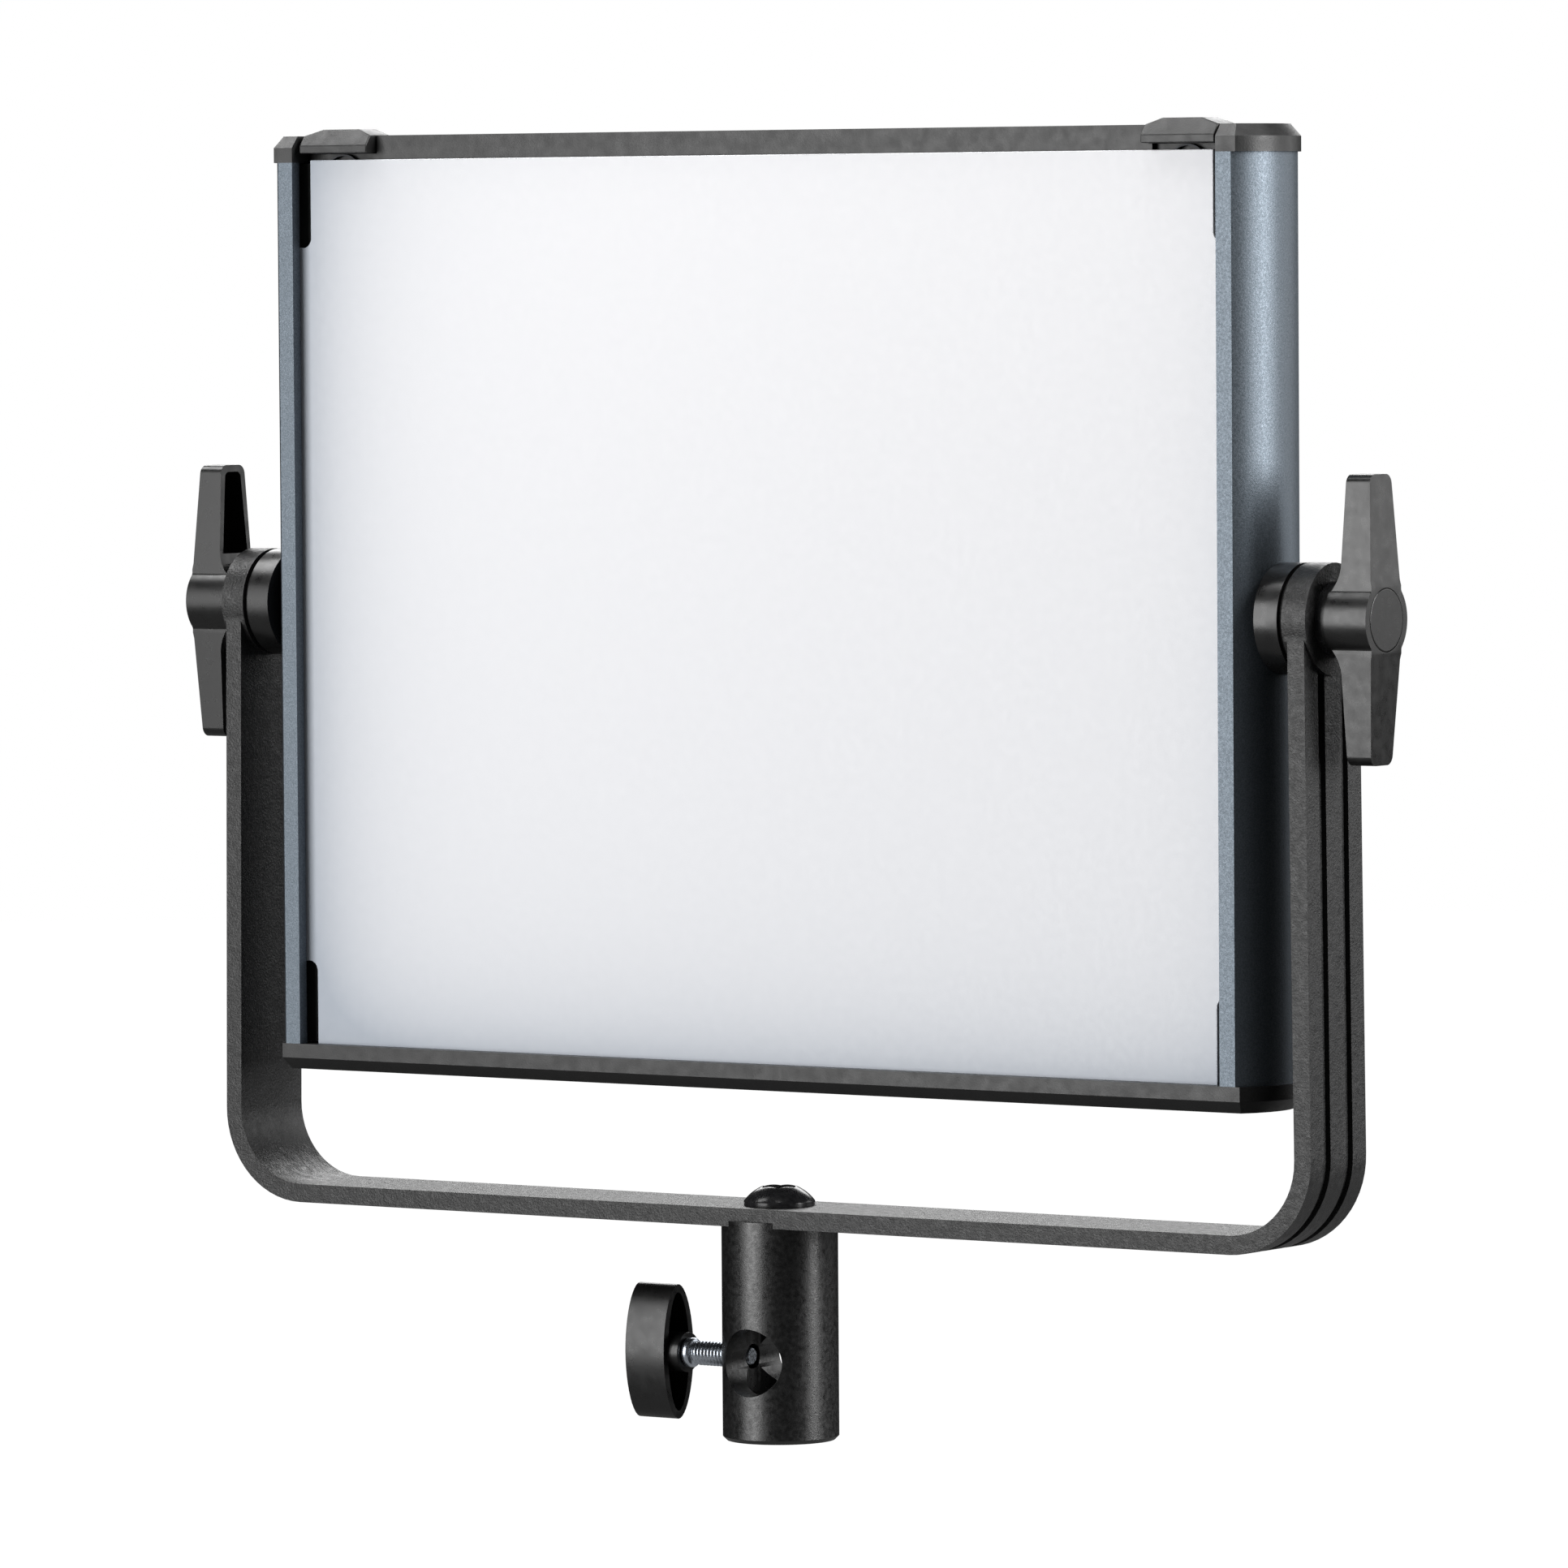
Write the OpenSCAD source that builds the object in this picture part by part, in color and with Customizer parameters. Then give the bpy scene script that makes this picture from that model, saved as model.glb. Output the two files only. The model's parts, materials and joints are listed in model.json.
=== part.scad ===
// LED panel light on a U-shaped yoke, with a stand socket below it and a control housing behind it.
// +X is to the right and -Y is towards the lit face. The origin is the centre of the stand socket's mouth.

/* [Head] */
// Height of the tilt axis above the stand socket's mouth
pivot_z = 203.5; // [195:0.5:215]
// Height of the head with both end caps
head_h = 233.8; // [225:0.1:245]
// Half the width of the head, measured at the flat front faces of its side rails
head_half_w = 141.2; // [140:0.1:150]
// Distance of the head's front face in front of the tilt axis
head_front = 14; // [13.5:0.1:15]
// Distance of the head's back face behind the tilt axis
head_back = 15.2; // [15:0.1:16]
// Radius of the rounded outer side of a side rail
bulge_r = 21.1; // [20:0.1:24]
// Width of the flat facet along a side rail's front and back corners
rail_facet = 1.2; // [0.8:0.1:1.6]
// Wall thickness of a side rail
rail_wall = 2.2; // [1.8:0.1:2.6]
// Width of the lip that holds the front sheet
lip_w = 5.5; // [5:0.1:6]
// Thickness of the lip that holds the front sheet
lip_t = 3; // [2.5:0.1:3.2]

/* [End caps] */
// Height of the top cap
top_cap_h = 6.6; // [6.4:0.1:8]
// Height of the bottom cap
bottom_cap_h = 6.45; // [6:0.05:8]
// Height of the sloped edge of a cap
cap_slope_h = 2.9; // [2:0.1:3.2]
// How far the sloped edge of a cap runs in
cap_slope_in = 2.5; // [2:0.1:3]
// How far the caps stand out past the rounded rails
cap_overhang = 0.8; // [0.5:0.1:1]

/* [Latches] */
// Width of a latch
latch_w = 20.6; // [18:0.1:24]
// Distance of a latch's middle from the centre of the head
latch_x = 124.2; // [110:0.1:124.2]
// Height of a latch
latch_h = 6; // [5.6:0.1:6.4]
// Travel of a latch as it clears the slot
latch_travel = 3.8; // [3.5:0.1:4]

/* [Front sheet and light unit] */
// Thickness of the diffuser sheet
diffuser_t = 2; // [1.5:0.1:2.2]
// Height of the gap between the diffuser's top edge and the latches
diffuser_gap = 1.6; // [1:0.1:2]
// Height of the corner notches of the diffuser
notch_h = 21.9; // [15:0.1:30]
// Depth of the corner notches behind the lip's edge
notch_w = 2.9; // [2:0.1:4]
// Number of light sources across the board
led_columns = 10; // [6:1:14]
// Number of light sources up the board
led_rows = 8; // [5:1:12]
// Side of one light source
led_size = 5; // [3:0.5:7]

/* [Rear panel] */
// Distance between neighbouring cooling fins
fin_pitch = 6; // [6:1:6]
// Thickness of one cooling fin
fin_t = 1.5; // [1.2:0.1:2]

/* [Control housing] */
// Half the width of the control housing
pod_half_w = 68; // [66:1:70]
// Distance of the control housing's lower face below the tilt axis
pod_below = 60; // [58:1:64]
// Distance of the control housing's upper face above the tilt axis
pod_above = 45; // [42:1:50]
// Wall thickness of the control housing
pod_wall = 2.2; // [2:0.1:2.4]
// Radius of a control knob
knob_r = 9; // [8:0.5:10]
// Distance of a control knob from the middle
knob_x = 42; // [38:1:44]
// Push travel of a control knob
knob_push = 0.6; // [0.4:0.1:0.8]
// Width of a push button
button_w = 8; // [7:0.5:9]
// Height of a push button
button_h = 6; // [5:0.5:7]
// Number of push buttons
button_count = 4; // [4:1:4]
// Angle at which the power rocker lies when it is off
rocker_tilt = 8; // [6:1:9]

/* [Battery plates] */
// Distance of a battery plate's middle from the centre of the head
plate_x = 99; // [99:6:99]
// Width of a battery plate
plate_w = 42; // [41:0.5:42]
// Height of a battery plate
plate_h = 72; // [70:1:80]

/* [Yoke] */
// Thickness of the yoke's bar
yoke_t = 4.6; // [4:0.1:5]
// Width of the yoke's bar
yoke_w = 25.3; // [24:0.1:26]
// Outer radius of the yoke's bends
yoke_bend = 22.8; // [20:0.1:30]
// How far each leg leans inwards from the bend to the tilt axis
yoke_lean = 1.5; // [0:0.1:2]
// Width of one groove along the yoke's outer face
groove_w = 3; // [2.5:0.1:3.5]
// Depth of one groove along the yoke's outer face
groove_d = 1.2; // [0.8:0.1:1.6]
// Radius of the round boss at the top of each leg
boss_r = 13.4; // [13:0.1:14]
// Length of the round boss along the tilt axis
boss_t = 6.6; // [6.2:0.1:7]

/* [Stand socket] */
// Radius of the receiver
receiver_r = 14.3; // [13.5:0.1:15]
// Height of the receiver below the yoke's bar
receiver_h = 53; // [50:0.5:58]
// Radius of the two spigot bores, for a 5/8 inch spigot
spigot_r = 8.3; // [8.1:0.1:8.5]
// Depth of the upright spigot bore
spigot_depth = 40; // [36:0.5:40]
// Height of the cross bore above the socket's mouth
cross_z = 19.9; // [18:0.1:24]

/* [Clamp screw] */
// Radius of the clamp screw's thread
clamp_r = 3; // [2.5:0.5:4]
// Half the height of the clamp knob
paddle_half_h = 16.7; // [14:0.1:20]
// Half the width of the clamp knob
paddle_half_w = 6.5; // [6:0.1:8]
// Thickness of the clamp knob
paddle_t = 11.6; // [10:0.1:14]

/* [Levers] */
// Half the height of a locking lever
lever_half_h = 34.3; // [30:0.1:38]
// Radius of a locking lever's hub
lever_hub_r = 9.6; // [9:0.1:9.8]
// Half the width of a lever wing beside the hub
wing_root = 6.8; // [6.4:0.1:7.2]
// Half the width of a lever wing at its tip
wing_tip = 5; // [4.5:0.1:6]
// Radius of the threaded stud that a lever turns
stud_r = 4; // [3.5:0.5:4]

/* [Hidden] */
$fn = 64;

// Shared clearances
eps = 0.01;
gap = 0.2;
fit = 0.06;

// Facets round a large curve in the preview
curve_steps = 160;

// Head levels
head_z0 = pivot_z - head_h / 2;
head_z1 = pivot_z + head_h / 2;
rail_z0 = head_z0 + bottom_cap_h;
rail_z1 = head_z1 - top_cap_h;
head_mid_y = (head_back - head_front) / 2;
head_depth = head_front + head_back;

// Side rail section
lip_x = head_half_w - lip_w;
bulge_half = head_depth / 2 - rail_facet;
bulge_x = head_half_w - sqrt(bulge_r * bulge_r - bulge_half * bulge_half);
crest_x = bulge_x + bulge_r;
slot_y0 = lip_t - head_front;
slot_depth = 3.5;
rail_foot_x = head_half_w - 13.2;
rail_foot_w = 3;
cavity_front_y = -6.6;
cavity_back_y = head_back - 3;
port_r = [2.5, 2.9];
port_hole_r = 1.35;
port_at = [[head_half_w - 0.6, -4.6], [head_half_w - 1.3, 8.2]];

// Latches
latch_z0 = rail_z1 + 2.2;
latch_front = slot_y0 - 1.5;
latch_back = -2;
tongue_back = 4;
tongue_top = latch_z0 + 2.5;
latch_play = 0.4;
spring_t = 1.3;

// Small screws
screw_r = 1.25;
tap_r = 1.3;
clear_r = 1.55;
cap_screw_r = 1.3;
cap_screw_recess = 2.4;
plate_screw_recess = 1.4;
screw_head_r = 2.4;
screw_head_hole_r = 2.6;
cap_head_r = 2.5;
wide_head_r = 2.7;
hex_r = 1.3;

// Layers of the light unit, front to back
diffuser_y = slot_y0 + 0.7;
recess_y = diffuser_y + diffuser_t + 0.1;
frame_y0 = slot_y0 + 3.1;
frame_flange_t = 1.5;
panel_y0 = 6;
panel_y1 = 9;
board_t = 1.6;
led_t = 0.8;
frame_window_x = lip_x - 4.7;
frame_window_in = 6;
frame_wall = 3;

// Pivot stack along X
hub_r = 13.3;
hub_x0 = crest_x - 0.8;
hub_x1 = hub_x0 + 6.4;
hub_spigot_r = 7.5;
spigot_x0 = lip_x + slot_depth - 0.4;
friction_t = 1.2;
boss_x0 = hub_x1 + friction_t + 0.1;
boss_x1 = boss_x0 + boss_t;
thrust_t = 1.7;
lever_x0 = boss_x1 + thrust_t + 0.05;
neck_end_t = 1;
wing_x0 = lever_x0 + 4.4;
wing_x1 = wing_x0 + 8.1;
stud_x0 = hub_x1 - 12.6;
stud_x1 = wing_x1 - 4;
lever_cap_r = 7.6;
lever_cap_t = 1.6;
hub_screw_z = 10.6;
hub_screw_y = 1.2;

// Yoke
bar_z0 = receiver_h;
leg_out_top = boss_x1 - 1;
leg_out = leg_out_top + yoke_lean;
bend_z = bar_z0 + yoke_bend;
groove_y = 5.05;
bolt_r = 5;
bolt_head_r = 8.75;
bolt_head_h = 5.5;
bush_r = 5.6;

// Clamp screw
screw_tip_x = -8.4;
knob_hub_x = -27.5;
paddle_x1 = -30.4;
paddle_x0 = paddle_x1 - paddle_t;

// Control housing
pod_z0 = pivot_z - pod_below;
pod_z1 = pivot_z + pod_above;
pod_y0 = panel_y1 + 0.05;
pod_side_y = 20;
pod_y1 = 30;
display_z = pivot_z + 8;
display_w = 50;
display_h = 28;
control_z = pivot_z - 27;
rocker_z = pivot_z - 44;
board_y0 = 18;
board_half_w = 48;
well_at = [for (x = [-54, 54], z = [pod_z0 + 13, pod_z1 - 17]) [x, z]];
well_r = 3.1;
well_floor_y = 14;
rocker_y = pod_y1 - 2;
rocker_well = [9.7, 4.4];
switch_half = [10.6, 5.3];
switch_bezel = [12, 6.6];
rocker_pin_r = 1;
rocker_pin_z = 5;
knob_y0 = pod_y1 + 1;
knob_y1 = knob_y0 + 11;
shaft_r = 3;
button_pitch = 12;
dc_x = 30;
dc_r = 5.4;
dc_bezel_r = 6.6;
dc_bore_r = 2.9;
dc_pin_r = 1;
usb_x = 8;
usb_half = [4.5, 1.65];
port_y = 16.5;

// Battery plates
plate_y0 = head_back + 0.05;
plate_y1 = plate_y0 + 3;
plate_top_y = plate_y0 + 6;
plate_z = pivot_z - 6;
plate_screw = [18, plate_h / 2 - 4];
release_z = plate_z - 24;
contact_z = plate_z + 20;
contact_x = 5;
slide_half = 16;
slide_neck = 14;
release_half = [6, 4];

// Placement helpers
module on_side(s) {
  if (s < 0) mirror([1, 0, 0]) children();
  else children();
}
module along_x(x0, x1) {
  translate([x0, 0, 0]) rotate([90, 0, 90]) linear_extrude(height = x1 - x0) children();
}
module along_y(y0, y1) {
  translate([0, y1, 0]) rotate([90, 0, 0]) linear_extrude(height = y1 - y0) children();
}
module along_z(z0, z1) {
  translate([0, 0, z0]) linear_extrude(height = z1 - z0) children();
}
module rod_x(r, x0, x1, y, z) {
  translate([x0, y, z]) rotate([0, 90, 0]) cylinder(r = r, h = x1 - x0);
}
module rod_y(r, x, y0, y1, z) {
  translate([x, y1, z]) rotate([90, 0, 0]) cylinder(r = r, h = y1 - y0);
}
module rod_z(r, x, y, z0, z1) {
  translate([x, y, z0]) cylinder(r = r, h = z1 - z0);
}
module ring_x(r, hole, x0, x1) {
  difference() {
    rod_x(r, x0, x1, 0, pivot_z);
    rod_x(hole, x0 - 1, x1 + 1, 0, pivot_z);
  }
}
module block(x, y, z) {
  translate([x[0], y[0], z[0]]) cube([x[1] - x[0], y[1] - y[0], z[1] - z[0]]);
}
module rounded_rect(x0, x1, z0, z1, r) {
  translate([x0 + r, z0]) square([x1 - x0 - 2 * r, z1 - z0]);
  translate([x0, z0 + r]) square([x1 - x0, z1 - z0 - 2 * r]);
  for (x = [x0 + r, x1 - r], z = [z0 + r, z1 - r]) translate([x, z]) circle(r = r);
}

// Yoke: a flat bar bent to a U. The section is drawn in X and Z, inset for the groove floors.
module yoke_outline(inset) {
  half = leg_out - inset;
  half_top = leg_out_top - inset;
  r = yoke_bend - inset;
  polygon([
    [-half, bend_z], [half, bend_z],
    [half_top, pivot_z + boss_r], [-half_top, pivot_z + boss_r]
  ]);
  translate([-half + r, bar_z0 + inset]) square([2 * (half - r), yoke_bend]);
  for (s = [-1, 1]) translate([s * (half - r), bend_z]) circle(r = r);
}
module yoke_bar() {
  difference() {
    along_y(-yoke_w / 2, yoke_w / 2) difference() {
      yoke_outline(0);
      yoke_outline(yoke_t);
      translate([-leg_out, pivot_z + boss_r - eps]) square([2 * leg_out, 1]);
    }
    for (y = [-groove_y, groove_y]) {
      along_y(y - groove_w / 2, y + groove_w / 2) difference() {
        yoke_outline(-1);
        yoke_outline(groove_d);
      }
    }
    difference() {
      block([-leg_out - 2, leg_out + 2], [-yoke_w, yoke_w], [pivot_z, pivot_z + 2 * boss_r]);
      rod_x(yoke_w / 2, -leg_out - 3, leg_out + 3, 0, pivot_z);
    }
  }
}
module yoke() {
  color([0.13, 0.13, 0.135]) difference() {
    union() {
      yoke_bar();
      for (s = [-1, 1]) on_side(s) rod_x(boss_r, boss_x0, boss_x1, 0, pivot_z);
    }
    rod_x(bush_r, -boss_x1 - 1, boss_x1 + 1, 0, pivot_z);
    rod_z(bolt_r + 0.2, 0, 0, bar_z0 - 1, bar_z0 + yoke_t + 1);
  }
}
module pivot_bushes() {
  color([0.85, 0.84, 0.8]) for (s = [-1, 1]) on_side(s)
    ring_x(bush_r - 0.03, stud_r + 0.15, boss_x0 + 0.1, boss_x1 - 0.1);
}
module thrust_washers() {
  color([0.6, 0.6, 0.6]) for (s = [-1, 1]) on_side(s)
    ring_x(lever_hub_r - 0.5, stud_r + 0.3, boss_x1, boss_x1 + thrust_t);
}

// Stand socket
module receiver() {
  ear_h = 1.4;
  mouth_chamfer = 1;
  color([0.1, 0.1, 0.1]) difference() {
    union() {
      translate([0, 0, mouth_chamfer]) cylinder(r = receiver_r, h = receiver_h - mouth_chamfer);
      cylinder(r1 = receiver_r - mouth_chamfer, r2 = receiver_r, h = mouth_chamfer);
      difference() {
        rod_z(receiver_r, 0, 0, receiver_h - eps, receiver_h + ear_h);
        block([-20, 20], [-yoke_w / 2 - 0.1, yoke_w / 2 + 0.1], [receiver_h, receiver_h + 3]);
      }
    }
    rod_z(spigot_r, 0, 0, -1, spigot_depth);
    rod_y(spigot_r, 0, -receiver_r - 1, receiver_r + 1, cross_z);
    rod_z(bolt_r + fit, 0, 0, spigot_depth - 1, receiver_h + 1);
    rod_x(clamp_r + fit, -receiver_r - 1, 0, 0, cross_z);
  }
}
module receiver_bolt() {
  head_z = bar_z0 + yoke_t;
  edge_h = 1.1;
  socket_af = 8;
  dome_r = (pow(bolt_head_r, 2) + pow(bolt_head_h - edge_h, 2)) / (2 * (bolt_head_h - edge_h));
  color([0.05, 0.05, 0.05]) difference() {
    union() {
      rod_z(bolt_r, 0, 0, spigot_depth + 1.5, head_z + eps);
      rod_z(bolt_head_r, 0, 0, head_z, head_z + edge_h);
      intersection() {
        translate([0, 0, head_z + bolt_head_h - dome_r]) sphere(r = dome_r);
        rod_z(bolt_head_r, 0, 0, head_z + edge_h - eps, head_z + bolt_head_h - 0.4);
      }
    }
    translate([0, 0, head_z + bolt_head_h - 3.6]) cylinder(r = socket_af / sqrt(3), h = 5, $fn = 6);
  }
}

// Clamp screw and its knob
module clamp_screw() {
  collar_r = 3.65;
  color([0.75, 0.77, 0.8]) union() {
    rod_x(clamp_r, paddle_x0 + 4, screw_tip_x - 1, 0, cross_z);
    translate([screw_tip_x - 1, 0, cross_z]) rotate([0, 90, 0])
      cylinder(r1 = clamp_r, r2 = clamp_r - 0.8, h = 1);
    rod_x(collar_r, knob_hub_x + 0.05, knob_hub_x + 2.2, 0, cross_z);
  }
}
// Half-outline of the oval knob: a rounded lens, drawn as a superellipse
function oval(a, b, power, steps) = [
  for (i = [0 : steps - 1]) let (t = 360 * i / steps, c = cos(t), s = sin(t))
    [a * sign(c) * pow(abs(c), 2 / power), b * sign(s) * pow(abs(s), 2 / power)]
];
module clamp_knob() {
  skin = 2;
  hub_r = 4.9;
  color([0.12, 0.12, 0.12]) difference() {
    union() {
      difference() {
        translate([0, 0, cross_z]) along_x(paddle_x0, paddle_x1)
          polygon(oval(paddle_half_w, paddle_half_h, 1.9, 48));
        translate([0, 0, cross_z]) along_x(paddle_x0 + 4, paddle_x1 + 1)
          polygon(oval(paddle_half_w - skin, paddle_half_h - skin, 1.9, 48));
      }
      rod_x(hub_r, paddle_x0 + 3, knob_hub_x, 0, cross_z);
    }
    rod_x(clamp_r + fit, paddle_x0 + 3.8, knob_hub_x + 1, 0, cross_z);
  }
}

// Locking levers
// Seen from the end of the axis: two tapered wings, rounded into a round hub at their roots. Each
// rounding runs a little into both walls
module lever_outline() {
  tip_r = 2.4;
  root_r = 1.5;
  bite = 0.02;
  root_y = wing_root + root_r - bite;
  root_z = sqrt(pow(lever_hub_r + root_r - bite, 2) - root_y * root_y);
  for (s = [-1, 1]) {
    polygon([
      [-wing_root, 0], [wing_root, 0], [wing_root, s * 8],
      [wing_tip, s * (lever_half_h - tip_r)], [-wing_tip, s * (lever_half_h - tip_r)], [-wing_root, s * 8]
    ]);
    translate([-wing_tip + tip_r, s > 0 ? lever_half_h - tip_r - 1 : -lever_half_h])
      square([2 * (wing_tip - tip_r), tip_r + 1]);
    for (y = [-1, 1]) translate([y * (wing_tip - tip_r), s * (lever_half_h - tip_r)]) circle(r = tip_r);
    for (y = [-1, 1]) difference() {
      polygon([[0, 0], [y * root_y, s * root_z], [y * (wing_root - 0.1), s * root_z]]);
      translate([y * root_y, s * root_z]) circle(r = root_r);
    }
  }
  circle(r = lever_hub_r);
}
// The side of a lever: its back sweeps down from the wings onto the neck
module lever_side() {
  sweep_r = 10;
  sweep_z = 13.5;
  foot_z = 6.7;
  foot_x = sweep_r - sqrt(sweep_r * sweep_r - pow(sweep_z - foot_z, 2));
  bite = 0.02;
  back = wing_x0 - 0.4;
  polygon([
    [back, -sweep_z], [wing_x0 + 0.2, -lever_half_h], [wing_x1 - 1.5, -lever_half_h],
    [wing_x1 - 0.3, -9.5], [wing_x1, -8], [wing_x1, 8], [wing_x1 - 0.3, 9.5],
    [wing_x1 - 1.5, lever_half_h], [wing_x0 + 0.2, lever_half_h], [back, sweep_z]
  ]);
  for (s = [-1, 1]) difference() {
    translate([back - foot_x, s > 0 ? foot_z : -sweep_z]) square([foot_x + 0.3, sweep_z - foot_z]);
    translate([back - sweep_r + bite, s * sweep_z]) circle(r = sweep_r);
  }
}
module lever_pocket() {
  skin = 1.7;
  corner_r = 1.6;
  corner_z = lever_half_h - skin - corner_r;
  half = wing_tip - skin;
  polygon([[-wing_root + skin, 12], [wing_root - skin, 12], [half, corner_z], [-half, corner_z]]);
  translate([-half + corner_r, corner_z - 1]) square([2 * (half - corner_r), corner_r + 1]);
  for (y = [-1, 1]) translate([y * (half - corner_r), corner_z]) circle(r = corner_r);
}
module lever(s) {
  color([0.12, 0.12, 0.12]) on_side(s) difference() {
    union() {
      intersection() {
        translate([0, 0, pivot_z]) along_x(wing_x0 - 3.2, wing_x1) lever_outline();
        translate([0, 0, pivot_z]) along_y(-lever_hub_r - 1, lever_hub_r + 1) lever_side();
      }
      rod_x(lever_hub_r, lever_x0 + neck_end_t, wing_x0 + 1, 0, pivot_z);
      rod_x(lever_hub_r - 0.3, lever_x0, lever_x0 + neck_end_t + 1, 0, pivot_z);
    }
    rod_x(stud_r + fit, lever_x0 - 1, stud_x1 + 0.2, 0, pivot_z);
    rod_x(lever_cap_r, wing_x1 - lever_cap_t, wing_x1 + 1, 0, pivot_z);
    translate([0, 0, pivot_z]) along_x(wing_x0 - 3, wing_x1 - 2.6) {
      lever_pocket();
      mirror([0, 1]) lever_pocket();
    }
  }
}
module lever_cap(s) {
  color([0.14, 0.14, 0.14]) on_side(s)
    rod_x(lever_cap_r - 0.1, wing_x1 - lever_cap_t, wing_x1 + 0.1, 0, pivot_z);
}
module stud(s) {
  color([0.7, 0.7, 0.72]) on_side(s) rod_x(stud_r, stud_x0, stud_x1, 0, pivot_z);
}

// Side rails: open extrusions with a rounded outer side
module rail_section() {
  c = rail_facet;
  difference() {
    union() {
      polygon([
        [rail_foot_x, -head_front], [head_half_w - c, -head_front], [head_half_w, c - head_front],
        [head_half_w, head_back - c], [head_half_w - c, head_back], [rail_foot_x, head_back]
      ]);
      intersection() {
        translate([bulge_x, head_mid_y]) circle(r = bulge_r, $fn = curve_steps);
        translate([head_half_w - 1, head_mid_y - bulge_half]) square([2 * bulge_r, 2 * bulge_half]);
      }
    }
    difference() {
      union() {
        polygon([
          [rail_foot_x - 1, -head_front - 1], [lip_x, -head_front - 1], [lip_x, slot_y0],
          [lip_x + slot_depth, slot_y0], [lip_x + slot_depth, cavity_front_y + 1],
          [lip_x + slot_depth - 2, cavity_back_y], [rail_foot_x + rail_foot_w, cavity_back_y],
          [rail_foot_x + rail_foot_w, panel_y1 + 0.1], [rail_foot_x - 1, panel_y1 + 0.1]
        ]);
        intersection() {
          translate([bulge_x, head_mid_y]) circle(r = bulge_r - rail_wall, $fn = curve_steps);
          translate([rail_foot_x + rail_foot_w + 1, cavity_front_y])
            square([2 * bulge_r, cavity_back_y - cavity_front_y]);
        }
      }
      for (i = [0, 1]) translate(port_at[i]) circle(r = port_r[i]);
    }
    for (i = [0, 1]) translate(port_at[i]) circle(r = port_hole_r);
  }
}
module side_rail(s) {
  color([0.36, 0.42, 0.48]) on_side(s) difference() {
    along_z(rail_z0, rail_z1) rail_section();
    rod_x(hub_spigot_r + fit, lip_x, crest_x + 1, 0, pivot_z);
    for (z = [-hub_screw_z, hub_screw_z]) rod_x(clear_r, lip_x, crest_x + 1, hub_screw_y, pivot_z + z);
    for (z = [-hub_screw_z, hub_screw_z])
      rod_x(screw_head_hole_r, lip_x, crest_x - rail_wall - 0.3, hub_screw_y, pivot_z + z);
  }
}
module pivot_hub(s) {
  color([0.1, 0.1, 0.1]) on_side(s) difference() {
    union() {
      rod_x(hub_r, hub_x0, hub_x1, 0, pivot_z);
      rod_x(hub_spigot_r, spigot_x0, hub_x0 + 1, 0, pivot_z);
    }
    difference() {
      translate([bulge_x, head_mid_y, pivot_z - 20]) cylinder(r = bulge_r + 0.02, h = 40, $fn = curve_steps);
      rod_x(hub_spigot_r, lip_x, crest_x + 1, 0, pivot_z);
    }
    rod_x(stud_r + fit, stud_x0 - 1, hub_x1 + 1, 0, pivot_z);
    for (z = [-hub_screw_z, hub_screw_z])
      rod_x(tap_r, hub_x0 - 1, hub_x1 - 1.5, hub_screw_y, pivot_z + z);
  }
}
module friction_washers() {
  color([0.05, 0.05, 0.05]) for (s = [-1, 1]) on_side(s)
    ring_x(12.2, stud_r + 0.3, hub_x1, hub_x1 + friction_t);
}
module hub_screws() {
  head_x = crest_x - rail_wall - 0.3;
  color([0.7, 0.7, 0.7]) for (s = [-1, 1], z = [-hub_screw_z, hub_screw_z]) on_side(s) {
    rod_x(screw_r, head_x - 1, hub_x1 - 2, hub_screw_y, pivot_z + z);
    rod_x(screw_head_r, head_x - 2, head_x, hub_screw_y, pivot_z + z);
  }
}

// End caps: the outline follows the rails, and the far edge is sloped all round
module cap_blank(h) {
  r = bulge_r + cap_overhang;
  wall_h = h - cap_slope_h;
  x_end = bulge_x + r;
  intersection() {
    linear_extrude(height = h) union() {
      translate([-head_half_w, -head_front]) square([2 * head_half_w, head_depth]);
      for (s = [-1, 1]) intersection() {
        translate([s * bulge_x, head_mid_y]) circle(r = r, $fn = curve_steps);
        translate([-x_end - 1, -head_front]) square([2 * x_end + 2, head_depth]);
      }
    }
    along_x(-x_end - 1, x_end + 1) polygon([
      [-head_front, -1], [head_back, -1], [head_back, wall_h], [head_back - cap_slope_in, h],
      [cap_slope_in - head_front, h], [-head_front, wall_h]
    ]);
    union() {
      block([-bulge_x, bulge_x], [-head_front - 1, head_back + 1], [-1, h + 1]);
      for (s = [-1, 1]) translate([s * bulge_x, head_mid_y, 0]) {
        translate([0, 0, -1]) cylinder(r = r, h = wall_h + 1, $fn = curve_steps);
        translate([0, 0, wall_h]) cylinder(r1 = r, r2 = r - cap_slope_in, h = cap_slope_h, $fn = curve_steps);
      }
    }
  }
}
module screw_holes(z_in, z_head, z_out) {
  for (s = [-1, 1], p = port_at) {
    rod_z(clear_r, s * p[0], p[1], min(z_in, z_head), max(z_in, z_head));
    rod_z(wide_head_r, s * p[0], p[1], min(z_head, z_out), max(z_head, z_out));
  }
}
module latch_pocket() {
  half = latch_w / 2 + 0.3;
  body_y1 = latch_back + latch_travel + latch_play;
  tongue_y1 = tongue_back + latch_travel + latch_play;
  block([latch_x - half, latch_x + half], [-head_front, body_y1], [latch_z0 - 0.1, head_z1 + 1]);
  block([latch_x - half, latch_x + half], [body_y1 - 0.1, tongue_y1], [latch_z0 - 0.1, tongue_top + 0.2]);
  block([latch_x - half + 1, lip_x], [-head_front, recess_y + spring_t + 2 * gap], [rail_z1 - 1, latch_z0]);
}
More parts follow.
